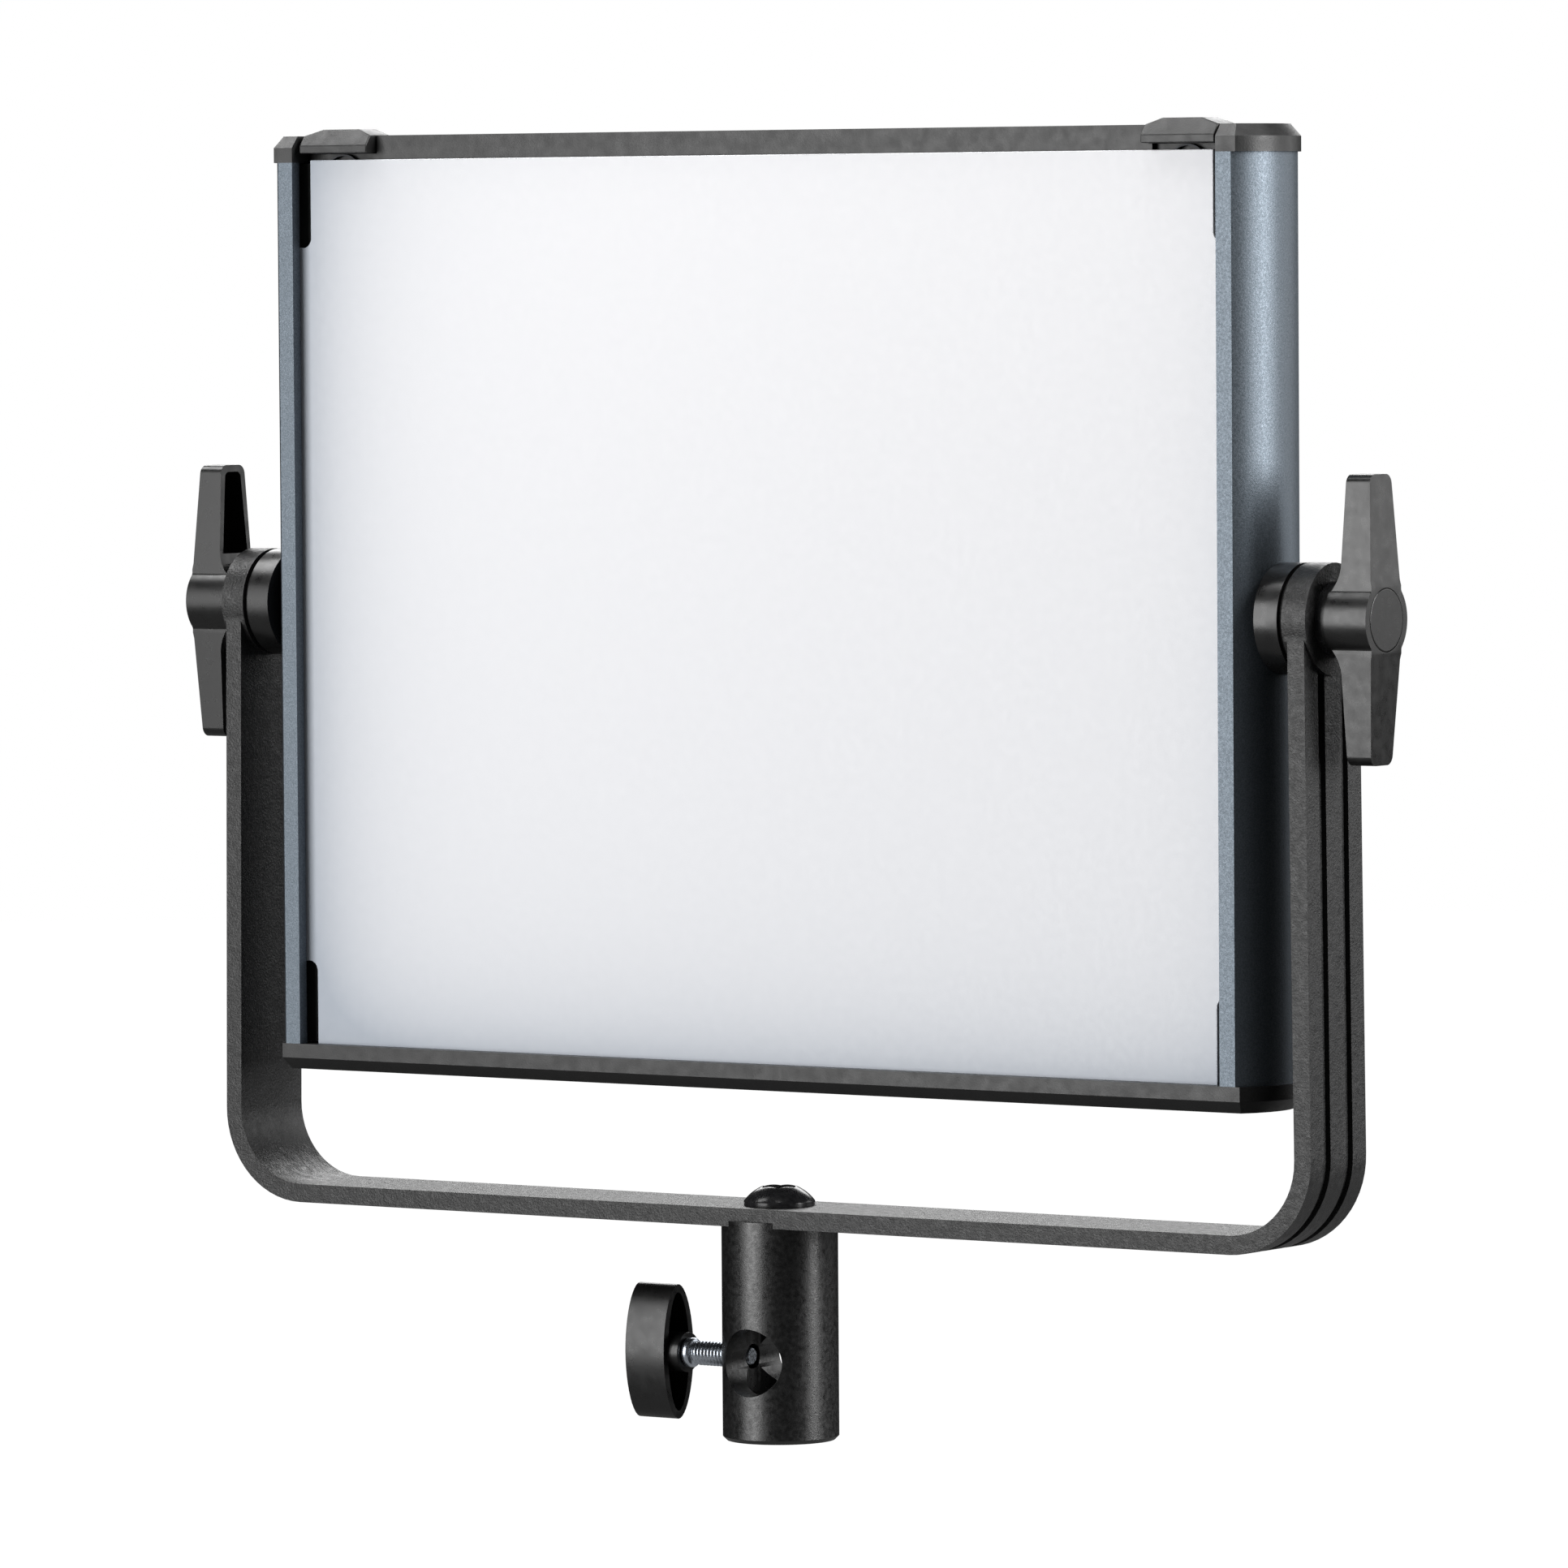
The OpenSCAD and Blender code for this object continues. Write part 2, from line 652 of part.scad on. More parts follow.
module top_cap() {
  color([0.13, 0.13, 0.13]) difference() {
    translate([0, 0, rail_z1]) cap_blank(top_cap_h);
    block([-lip_x, lip_x], [-head_front - 1, recess_y], [rail_z1 - 1, head_z1 + 1]);
    for (s = [-1, 1]) on_side(s) latch_pocket();
    screw_holes(rail_z1 - 1, head_z1 - cap_screw_recess, head_z1 + 1);
  }
}
module bottom_cap() {
  groove_z = rail_z0 - 1.4;
  color([0.13, 0.13, 0.13]) difference() {
    translate([0, 0, rail_z0]) mirror([0, 0, 1]) cap_blank(bottom_cap_h);
    block([-lip_x - slot_depth, lip_x + slot_depth], [diffuser_y - 0.2, frame_y0 - 0.1],
      [groove_z, rail_z0 + 1]);
    screw_holes(rail_z0 + 1, head_z0 + cap_screw_recess, head_z0 - 1);
  }
}
module cap_screws() {
  color([0.1, 0.1, 0.1]) for (s = [-1, 1], p = port_at, end = [-1, 1]) {
    head_z = end > 0 ? head_z1 - cap_screw_recess : head_z0 + cap_screw_recess;
    translate([s * p[0], p[1], head_z]) mirror([0, 0, end > 0 ? 0 : 1]) difference() {
      union() {
        translate([0, 0, -11]) cylinder(r = cap_screw_r, h = 11 + eps);
        cylinder(r = cap_head_r, h = 1.7);
      }
      translate([0, 0, 0.7]) cylinder(r = hex_r, h = 2, $fn = 6);
    }
  }
}
module latch(s) {
  x0 = latch_x - latch_w / 2;
  x1 = latch_x + latch_w / 2;
  top = latch_z0 + latch_h;
  shoulder = top - 1.6;
  top_run = 5.3;
  color([0.13, 0.13, 0.13]) on_side(s) union() {
    intersection() {
      along_x(x0, x1) polygon([
        [latch_front, latch_z0], [latch_back, latch_z0], [latch_back, top],
        [latch_front + 3, top], [latch_front, latch_z0 + 1.9]
      ]);
      along_y(latch_front - 1, 0) polygon([
        [x0, latch_z0], [x1, latch_z0], [x1, shoulder],
        [x1 - top_run, top], [x0 + top_run - 1, top], [x0, shoulder]
      ]);
    }
    block([x0 + 2, x1 - 2], [latch_back - 0.1, tongue_back], [latch_z0, tongue_top]);
  }
}
module latch_springs() {
  bow_r = 6;
  leaf_t = 0.4;
  y0 = recess_y + gap;
  color([0.75, 0.76, 0.78]) for (s = [-1, 1]) on_side(s) along_y(y0, y0 + spring_t) intersection() {
    difference() {
      translate([latch_x, latch_z0 - gap - bow_r]) circle(r = bow_r);
      translate([latch_x, latch_z0 - gap - bow_r]) circle(r = bow_r - leaf_t);
    }
    translate([latch_x - bow_r, rail_z1 + 0.05]) square([2 * bow_r, bow_r]);
  }
}

// Front sheet and what lies behind it
module diffuser() {
  top = latch_z0 - diffuser_gap;
  bottom = rail_z0 - 1.2;
  inner_x = lip_x - notch_w;
  outer_x = lip_x + slot_depth - 1;
  notch_r = 2.5;
  color([0.9, 0.91, 0.94]) along_y(diffuser_y, diffuser_y + diffuser_t) {
    rounded_rect(-inner_x, inner_x, bottom, top, 2.8);
    difference() {
      translate([-outer_x, bottom]) square([2 * outer_x, top - bottom]);
      for (s = [-1, 1]) {
        x0 = s > 0 ? inner_x : -outer_x - 9;
        rounded_rect(x0, x0 + outer_x - inner_x + 9, top - notch_h, top + 9, notch_r);
        rounded_rect(x0, x0 + outer_x - inner_x + 9, bottom - 9, bottom + notch_h, notch_r);
      }
    }
  }
}
module light_frame() {
  z0 = rail_z0 + 0.3;
  z1 = rail_z1 - 0.2;
  wz0 = z0 + frame_window_in;
  wz1 = z1 - frame_window_in;
  outer_x = lip_x + slot_depth - 0.7;
  wall_x = frame_window_x + frame_wall;
  color([0.05, 0.05, 0.05]) difference() {
    union() {
      block([-outer_x, outer_x], [frame_y0, frame_y0 + frame_flange_t], [z0, z1]);
      block([-wall_x, wall_x], [frame_y0, panel_y0 - 0.05], [wz0 - frame_wall, wz1 + frame_wall]);
    }
    block([-frame_window_x, frame_window_x], [frame_y0 - 1, panel_y0 + 1], [wz0, wz1]);
  }
}
module led_board() {
  margin = 0.5;
  half = frame_window_x - margin;
  z0 = rail_z0 + 0.3 + frame_window_in + margin;
  z1 = rail_z1 - 0.2 - frame_window_in - margin;
  color([0.88, 0.88, 0.86]) block([-half, half], [panel_y0 - board_t, panel_y0], [z0, z1]);
}
module leds() {
  span_x = 2 * (frame_window_x - 14);
  span_z = head_h - 46;
  y1 = panel_y0 - board_t;
  color([0.95, 0.85, 0.4]) for (i = [0 : led_columns - 1], j = [0 : led_rows - 1]) {
    x = -span_x / 2 + span_x * i / (led_columns - 1);
    z = pivot_z - span_z / 2 + span_z * j / (led_rows - 1);
    block([x - led_size / 2, x + led_size / 2], [y1 - led_t, y1], [z - led_size / 2, z + led_size / 2]);
  }
}
module rear_panel() {
  half = lip_x + 0.6;
  z0 = rail_z0 + 0.2;
  z1 = rail_z1 - 0.2;
  fins = floor((rail_foot_x - 1.5) / fin_pitch);
  color([0.1, 0.1, 0.11]) difference() {
    union() {
      block([-half, half], [panel_y0, panel_y1], [z0, z1]);
      for (i = [-fins : fins]) {
        x = i * fin_pitch;
        block([x - fin_t / 2, x + fin_t / 2], [panel_y1 - eps, head_back], [z0, z1]);
      }
    }
    block([-pod_half_w - 1, pod_half_w + 1], [panel_y1, head_back + 1], [pod_z0 - 3, pod_z1 + 1]);
    for (p = well_at) rod_y(tap_r, p[0], panel_y0 - 1, panel_y1 + 1, p[1]);
    for (s = [-1, 1], x = [-1, 1], z = [-1, 1])
      rod_y(tap_r, s * plate_x + x * plate_screw[0], panel_y0 - 1, panel_y1 + 1,
        plate_z + z * plate_screw[1]);
  }
}

// Control housing: a sloped box, cut on both views so that all four sides lean in
module pod_form(inset) {
  y0 = inset > 0 ? pod_y0 - 1 : pod_y0;
  z0 = pod_z0 + inset;
  z1 = pod_z1 - inset;
  x = pod_half_w - inset;
  side_y = pod_side_y - inset * 0.4;
  y1 = pod_y1 - inset;
  intersection() {
    along_x(-x, x)
      polygon([[y0, z0], [y0, z1], [side_y, z1], [y1, z1 - 10], [y1, z0 + 6], [side_y + 4, z0]]);
    along_z(z0, z1) polygon([[-x, y0], [x, y0], [x, side_y], [x - 8, y1], [8 - x, y1], [-x, side_y]]);
  }
}
module switch_box(half, grow, y0, y1) {
  block([-half[0] - grow, half[0] + grow], [y0, y1], [rocker_z - half[1] - grow, rocker_z + half[1] + grow]);
}
module usb_shell(grow, z0, z1) {
  w = usb_half[0] + grow;
  h = usb_half[1] + grow;
  block([usb_x - w, usb_x + w], [port_y - h, port_y + h], [z0, z1]);
}
function button_x(i) = (i - (button_count + 1) / 2) * button_pitch;
module control_housing() {
  color([0.12, 0.12, 0.125]) difference() {
    union() {
      difference() {
        pod_form(0);
        pod_form(pod_wall);
      }
      for (p = well_at) rod_y(well_r + 1.5, p[0], pod_y0, pod_y1 - 0.5, p[1]);
    }
    for (p = well_at) {
      rod_y(well_r, p[0], well_floor_y, pod_y1 + 1, p[1]);
      rod_y(clear_r, p[0], pod_y0 - 1, well_floor_y + 1, p[1]);
    }
    along_y(pod_y1 - 1.3, pod_y1 + 1)
      rounded_rect(-display_w / 2, display_w / 2, display_z - display_h / 2, display_z + display_h / 2, 2);
    block([2 - display_w / 2, display_w / 2 - 2], [pod_y1 - 4, pod_y1], [display_z - 12, display_z + 12]);
    for (s = [-1, 1]) rod_y(4.2, s * knob_x, pod_y1 - 4, pod_y1 + 1, control_z);
    for (i = [1 : button_count]) along_y(pod_y1 - 4, pod_y1 + 1) button_outline(i, gap);
    switch_box(switch_half, gap, pod_y1 - 4, pod_y1 + 1);
    rod_z(dc_r + 0.1, dc_x, port_y, pod_z0 - 1, pod_z0 + 4);
    usb_shell(0.1, pod_z0 - 1, pod_z0 + 4);
  }
}
module housing_screws() {
  color([0.1, 0.1, 0.1]) for (p = well_at) difference() {
    union() {
      rod_y(screw_r, p[0], panel_y0 + 0.2, well_floor_y + eps, p[1]);
      rod_y(wide_head_r, p[0], well_floor_y, well_floor_y + 2, p[1]);
    }
    translate([p[0], well_floor_y + 1, p[1]]) rotate([-90, 0, 0]) cylinder(r = hex_r, h = 2, $fn = 6);
  }
}
module display_window() {
  color([0.05, 0.06, 0.08, 0.8]) along_y(pod_y1 - 1.3, pod_y1 - 0.1) rounded_rect(
    0.15 - display_w / 2, display_w / 2 - 0.15,
    display_z - display_h / 2 + 0.15, display_z + display_h / 2 - 0.15, 2);
}
module display_module() {
  half_w = 24;
  half_h = 13.5;
  color([0.1, 0.14, 0.18]) block([-half_w, half_w], [board_y0 + board_t, pod_y1 - pod_wall - gap],
    [display_z - half_h, display_z + half_h]);
}
module control_board() {
  color([0.05, 0.25, 0.12])
    block([-board_half_w, board_half_w], [board_y0, board_y0 + board_t], [control_z - 9, display_z + 16]);
}
module tact_switches() {
  color([0.2, 0.2, 0.22]) for (i = [1 : button_count]) {
    x = button_x(i);
    block([x - 3, x + 3], [board_y0 + board_t, pod_y1 - 3.8], [control_z - 3, control_z + 3]);
  }
}
module encoders() {
  y1 = pod_y1 - pod_wall - gap;
  color([0.5, 0.5, 0.52]) for (s = [-1, 1]) difference() {
    block([s * knob_x - 6, s * knob_x + 6], [board_y0 + board_t, y1], [control_z - 6, control_z + 6]);
    rod_y(shaft_r + fit, s * knob_x, board_y0 + board_t + 0.4, y1 + 1, control_z);
  }
}
module encoder_shaft(s) {
  shaft_y0 = board_y0 + board_t + 0.5 + knob_push;
  color([0.7, 0.7, 0.72]) rod_y(shaft_r, s * knob_x, shaft_y0, knob_y1 - 3, control_z);
}
module knob(s) {
  grip_count = 24;
  color([0.12, 0.12, 0.12]) difference() {
    union() {
      rod_y(knob_r, s * knob_x, knob_y0, knob_y1 - 1, control_z);
      translate([s * knob_x, knob_y1 - 1, control_z]) rotate([-90, 0, 0])
        cylinder(r1 = knob_r, r2 = knob_r - 1, h = 1);
    }
    rod_y(shaft_r + fit, s * knob_x, knob_y0 - 1, knob_y1 - 2.9, control_z);
    for (i = [0 : grip_count - 1]) {
      angle = 360 * i / grip_count;
      rod_y(0.5, s * knob_x + knob_r * cos(angle), knob_y0 + 2, knob_y1 + 1,
        control_z + knob_r * sin(angle));
    }
  }
}
module button_outline(i, grow) {
  x = button_x(i);
  w = button_w / 2 + grow;
  h = button_h / 2 + grow;
  rounded_rect(x - w, x + w, control_z - h, control_z + h, 1.2);
}
module button(i) {
  flange_y = pod_y1 - pod_wall - gap;
  color([0.2, 0.2, 0.21]) union() {
    along_y(flange_y - 0.7, pod_y1 + 1.2) button_outline(i, 0);
    along_y(flange_y - 0.7, flange_y) button_outline(i, 0.8);
  }
}
module power_switch() {
  color([0.06, 0.06, 0.06]) difference() {
    union() {
      switch_box(switch_bezel, 0, pod_y1, pod_y1 + 1);
      switch_box(switch_half, 0, pod_y1 - 9, pod_y1 + eps);
    }
    switch_box(rocker_well, 0, pod_y1 - 6, pod_y1 + 2);
    rod_z(rocker_pin_r + fit, 0, rocker_y, rocker_z - rocker_pin_z - fit, rocker_z + rocker_pin_z + fit);
  }
}
module power_rocker() {
  half = 8.4;
  rise = 4.2;
  dip = 2.6;
  half_h = rocker_well[1] - gap;
  color([0.09, 0.09, 0.09]) translate([0, rocker_y, 0]) rotate([0, 0, -rocker_tilt]) union() {
    along_z(rocker_z - half_h, rocker_z + half_h)
      polygon([[-half, 0], [-half, rise], [0, dip], [half, rise], [half, 0], [3, -1.8], [-3, -1.8]]);
    rod_z(rocker_pin_r, 0, 0, rocker_z - rocker_pin_z, rocker_z + rocker_pin_z);
  }
}
module dc_inlet() {
  z1 = pod_z0 + 12;
  color([0.15, 0.15, 0.16]) difference() {
    union() {
      rod_z(dc_r, dc_x, port_y, pod_z0, z1);
      rod_z(dc_bezel_r, dc_x, port_y, pod_z0 - 1.4, pod_z0);
    }
    difference() {
      rod_z(dc_bore_r, dc_x, port_y, pod_z0 - 2, z1 - 2);
      rod_z(dc_pin_r, dc_x, port_y, pod_z0 + 1, z1);
    }
  }
}
module usb_port() {
  wall = 0.35;
  color([0.7, 0.7, 0.72]) difference() {
    usb_shell(0, pod_z0 - 0.1, pod_z0 + 7);
    difference() {
      usb_shell(-wall, pod_z0 - 1, pod_z0 + 6.5);
      block([usb_x - 3, usb_x + 3], [port_y - 0.35, port_y + 0.35], [pod_z0 + 1, pod_z0 + 7]);
    }
  }
}
module driver_board() {
  y0 = pod_y0 + 2;
  chip_pitch = 34;
  chip_half = 7;
  color([0.05, 0.22, 0.12]) union() {
    block([-board_half_w, board_half_w], [y0, y0 + board_t], [pod_z0 + 22, pod_z1 - 6]);
    for (x = [-chip_pitch, 0, chip_pitch]) {
      block([x - chip_half, x + chip_half], [y0 + board_t - eps, y0 + board_t + 5],
        [display_z - 8, display_z + 20]);
    }
  }
}

// Battery plates: a T-shaped slide with two contact slots and a release button
module plate_section(s) {
  half = plate_w / 2;
  neck_y = plate_y1 + 1.2;
  translate([s * plate_x, 0]) polygon([
    [-half, plate_y0], [half, plate_y0], [half, plate_y1], [slide_neck, plate_y1],
    [slide_neck, neck_y], [slide_half, neck_y], [slide_half, plate_top_y],
    [-slide_half, plate_top_y], [-slide_half, neck_y], [-slide_neck, neck_y],
    [-slide_neck, plate_y1], [-half, plate_y1]
  ]);
}
module release_block(x, grow, y0, y1) {
  w = release_half[0] + grow;
  h = release_half[1] + grow;
  block([x - w, x + w], [y0, y1], [release_z - h, release_z + h]);
}
module battery_plate(s) {
  z0 = plate_z - plate_h / 2;
  x = s * plate_x;
  color([0.11, 0.11, 0.11]) difference() {
    along_z(z0, z0 + plate_h) plate_section(s);
    for (side = [-1, 1])
      block([x + side * 15 - 1.5, x + side * 15 + 1.5], [plate_y1, plate_top_y + 1], [z0 - 1, z0 + 3]);
    for (side = [-1, 1])
      block([x + side * contact_x - 1.2, x + side * contact_x + 1.2], [plate_y0 + 1, plate_top_y + 1],
        [contact_z - 5, contact_z + 5]);
    release_block(x, gap, plate_y0 + 1, plate_top_y + 1);
    for (a = [-1, 1], b = [-1, 1]) {
      sx = x + a * plate_screw[0];
      sz = plate_z + b * plate_screw[1];
      rod_y(clear_r, sx, plate_y0 - 1, plate_y1 + 1, sz);
      rod_y(screw_head_hole_r, sx, plate_y1 - plate_screw_recess, plate_y1 + 1, sz);
    }
  }
}
module battery_contacts() {
  color([0.8, 0.65, 0.3]) for (s = [-1, 1], side = [-1, 1]) {
    x = s * plate_x + side * contact_x;
    block([x - 0.4, x + 0.4], [plate_y0 + 1, plate_top_y - 1], [contact_z - 4, contact_z + 4]);
  }
}
module plate_screws() {
  color([0.1, 0.1, 0.1]) for (s = [-1, 1], a = [-1, 1], b = [-1, 1]) {
    x = s * plate_x + a * plate_screw[0];
    z = plate_z + b * plate_screw[1];
    rod_y(screw_r, x, panel_y0 + 0.2, plate_y1 - plate_screw_recess + eps, z);
    rod_y(screw_head_r, x, plate_y1 - plate_screw_recess, plate_y1 - 0.1, z);
  }
}
module battery_release(s) {
  color([0.25, 0.25, 0.26]) release_block(s * plate_x, 0, plate_y0 + 2.8, plate_top_y + 1);
}

yoke();
pivot_bushes();
thrust_washers();
receiver();
receiver_bolt();
clamp_screw();
clamp_knob();
stud(-1);  // stud_left
stud(1);  // stud_right
lever(-1);  // lever_left
lever(1);  // lever_right
lever_cap(-1);  // lever_cap_left
lever_cap(1);  // lever_cap_right
side_rail(-1);  // side_rail_left
side_rail(1);  // side_rail_right
pivot_hub(-1);  // pivot_hub_left
pivot_hub(1);  // pivot_hub_right
friction_washers();
hub_screws();
top_cap();
bottom_cap();
cap_screws();
latch(-1);  // latch_left
latch(1);  // latch_right
latch_springs();
diffuser();
light_frame();
led_board();
leds();
rear_panel();
control_housing();
housing_screws();
display_window();
display_module();
control_board();
tact_switches();
encoders();
encoder_shaft(-1);  // encoder_shaft_left
encoder_shaft(1);  // encoder_shaft_right
knob(-1);  // knob_left
knob(1);  // knob_right
button(1);  // button_1
button(2);  // button_2
button(3);  // button_3
button(4);  // button_4
power_switch();
power_rocker();
dc_inlet();
usb_port();
driver_board();
battery_plate(-1);  // battery_plate_left
battery_plate(1);  // battery_plate_right
battery_contacts();
plate_screws();
battery_release(-1);  // battery_release_left
battery_release(1);  // battery_release_right
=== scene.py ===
"""Looks for the LED panel light: materials, softened edges, a real screw thread, light and camera."""
import json
import math

import bmesh
import bpy
from mathutils import Matrix, Vector

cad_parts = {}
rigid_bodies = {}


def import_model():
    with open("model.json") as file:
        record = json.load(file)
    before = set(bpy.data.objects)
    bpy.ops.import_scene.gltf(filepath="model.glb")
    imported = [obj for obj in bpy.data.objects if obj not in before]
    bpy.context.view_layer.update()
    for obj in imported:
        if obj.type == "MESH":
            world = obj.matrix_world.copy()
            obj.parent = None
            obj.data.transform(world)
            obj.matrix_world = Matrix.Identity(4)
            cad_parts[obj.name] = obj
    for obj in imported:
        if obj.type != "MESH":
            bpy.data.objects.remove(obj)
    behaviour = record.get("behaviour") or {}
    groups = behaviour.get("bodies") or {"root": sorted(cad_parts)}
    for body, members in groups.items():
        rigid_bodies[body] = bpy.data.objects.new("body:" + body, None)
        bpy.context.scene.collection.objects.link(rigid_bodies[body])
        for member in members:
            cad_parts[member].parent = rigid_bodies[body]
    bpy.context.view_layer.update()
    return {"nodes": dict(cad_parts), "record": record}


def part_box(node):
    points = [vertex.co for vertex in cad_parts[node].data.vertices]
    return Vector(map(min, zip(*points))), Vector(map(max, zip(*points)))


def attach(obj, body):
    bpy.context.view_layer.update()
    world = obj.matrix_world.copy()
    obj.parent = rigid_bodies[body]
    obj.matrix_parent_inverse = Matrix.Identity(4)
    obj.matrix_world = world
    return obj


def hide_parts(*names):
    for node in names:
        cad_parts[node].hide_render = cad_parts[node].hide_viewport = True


MM = 0.001

for startup_object in list(bpy.data.objects):
    bpy.data.objects.remove(startup_object)

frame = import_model()
nodes = frame["nodes"]


# ---------------------------------------------------------------- camera

CAMERA_YAW = math.radians(34.223)
CAMERA_PITCH = math.radians(2.972)
CAMERA_ROLL = math.radians(-0.400)
CAMERA_TARGET = Vector((0.0022, 0.0, 0.160916))
CAMERA_DISTANCE = 2.5726
# Lens and sensor, in millimetres
CAMERA_LENS = 241.69
CAMERA_SENSOR = 36.0


def make_camera():
    """A long lens, turned to the right of the lit face and a little above it."""
    back = Vector((
        math.sin(CAMERA_YAW) * math.cos(CAMERA_PITCH),
        -math.cos(CAMERA_YAW) * math.cos(CAMERA_PITCH),
        math.sin(CAMERA_PITCH),
    ))
    right = Vector((math.cos(CAMERA_YAW), math.sin(CAMERA_YAW), 0.0))
    up = back.cross(right)
    rolled_right = right * math.cos(CAMERA_ROLL) + up * math.sin(CAMERA_ROLL)
    rolled_up = up * math.cos(CAMERA_ROLL) - right * math.sin(CAMERA_ROLL)
    camera = bpy.data.objects.new("camera", bpy.data.cameras.new("camera"))
    camera.data.lens = CAMERA_LENS
    camera.data.sensor_width = CAMERA_SENSOR
    camera.data.clip_start = 0.1
    camera.data.clip_end = 50.0
    axes = Matrix((rolled_right, rolled_up, back)).transposed().to_4x4()
    camera.matrix_world = Matrix.Translation(CAMERA_TARGET + back * CAMERA_DISTANCE) @ axes
    bpy.context.scene.collection.objects.link(camera)
    bpy.context.scene.camera = camera


# ---------------------------------------------------------------- light and floor

# Azimuth (0 in front of the lit face, 90 to its right) and elevation in degrees, then distance, width
# and height in metres, then power in watts
SOFTBOXES = {
    "front_left_softbox": (-23, 9, 2.2, 1.3, 1.8, 47),
    "upper_left_softbox": (-84, 56, 2.0, 1.0, 0.7, 20),
    "top_softbox": (60, 80, 2.0, 0.8, 0.8, 12),
    "right_softbox": (104, 25, 2.0, 0.5, 2.3, 72),
    "rear_right_softbox": (150, 14, 2.4, 1.2, 1.3, 9),
    "rear_softbox": (210, 24, 2.2, 1.6, 0.7, 18),
}
# Strength of the surroundings as a light, and as the backdrop that the camera sees
AMBIENT_STRENGTH = 0.025
BACKDROP_STRENGTH = 1.0
FLOOR_GLOW = 1.02


def softbox(name, azimuth, elevation, distance, width, height, power):
    """A soft rectangular light that faces the camera's target."""
    a, e = math.radians(azimuth), math.radians(elevation)
    towards = Vector((math.sin(a) * math.cos(e), -math.cos(a) * math.cos(e), math.sin(e)))
    light = bpy.data.lights.new(name, "AREA")
    light.shape = "RECTANGLE"
    light.size = width
    light.size_y = height
    light.energy = power
    lamp = bpy.data.objects.new(name, light)
    lamp.location = CAMERA_TARGET + towards * distance
    lamp.rotation_euler = towards.to_track_quat("Z", "Y").to_euler()
    lamp.visible_camera = False
    bpy.context.scene.collection.objects.link(lamp)


def make_light():
    for name, settings in SOFTBOXES.items():
        softbox(name, *settings)
    world = bpy.data.worlds.new("studio")
    world.use_nodes = True
    tree = world.node_tree
    background = tree.nodes["Background"]
    background.inputs["Color"].default_value = (1.0, 1.0, 1.0, 1.0)
    seen = tree.nodes.new("ShaderNodeLightPath")
    strength = tree.nodes.new("ShaderNodeMapRange")
    strength.inputs["To Min"].default_value = AMBIENT_STRENGTH
    strength.inputs["To Max"].default_value = BACKDROP_STRENGTH
    tree.links.new(seen.outputs["Is Camera Ray"], strength.inputs["Value"])
    tree.links.new(strength.outputs["Result"], background.inputs["Strength"])
    bpy.context.scene.world = world
    bpy.context.scene.view_settings.view_transform = "Standard"


def make_floor():
    """A round pale floor, well below the stand socket."""
    floor_z = -0.45
    radius = 9.0
    steps = 64
    angles = [math.tau * i / steps for i in range(steps)]
    rim = [(radius * math.cos(angle), radius * math.sin(angle), floor_z) for angle in angles]
    mesh = bpy.data.meshes.new("floor")
    mesh.from_pydata(rim, [], [range(steps)])
    floor = bpy.data.objects.new("floor", mesh)
    bpy.context.scene.collection.objects.link(floor)
    look = Look("floor_pale", (0.15, 0.15, 0.15), roughness=0.9, Emission_Color=(1.0, 1.0, 1.0, 1.0))
    look.vary_colour((0.14, 0.14, 0.14), (0.16, 0.16, 0.16), 0.4)
    seen = look.node("ShaderNodeLightPath")
    glow = look.spread(seen.outputs["Is Camera Ray"], 0.0, FLOOR_GLOW, from_low=0.0, from_high=1.0)
    look.link(glow, look.shader.inputs["Emission Strength"])
    mesh.materials.append(look.material)


# ---------------------------------------------------------------- materials

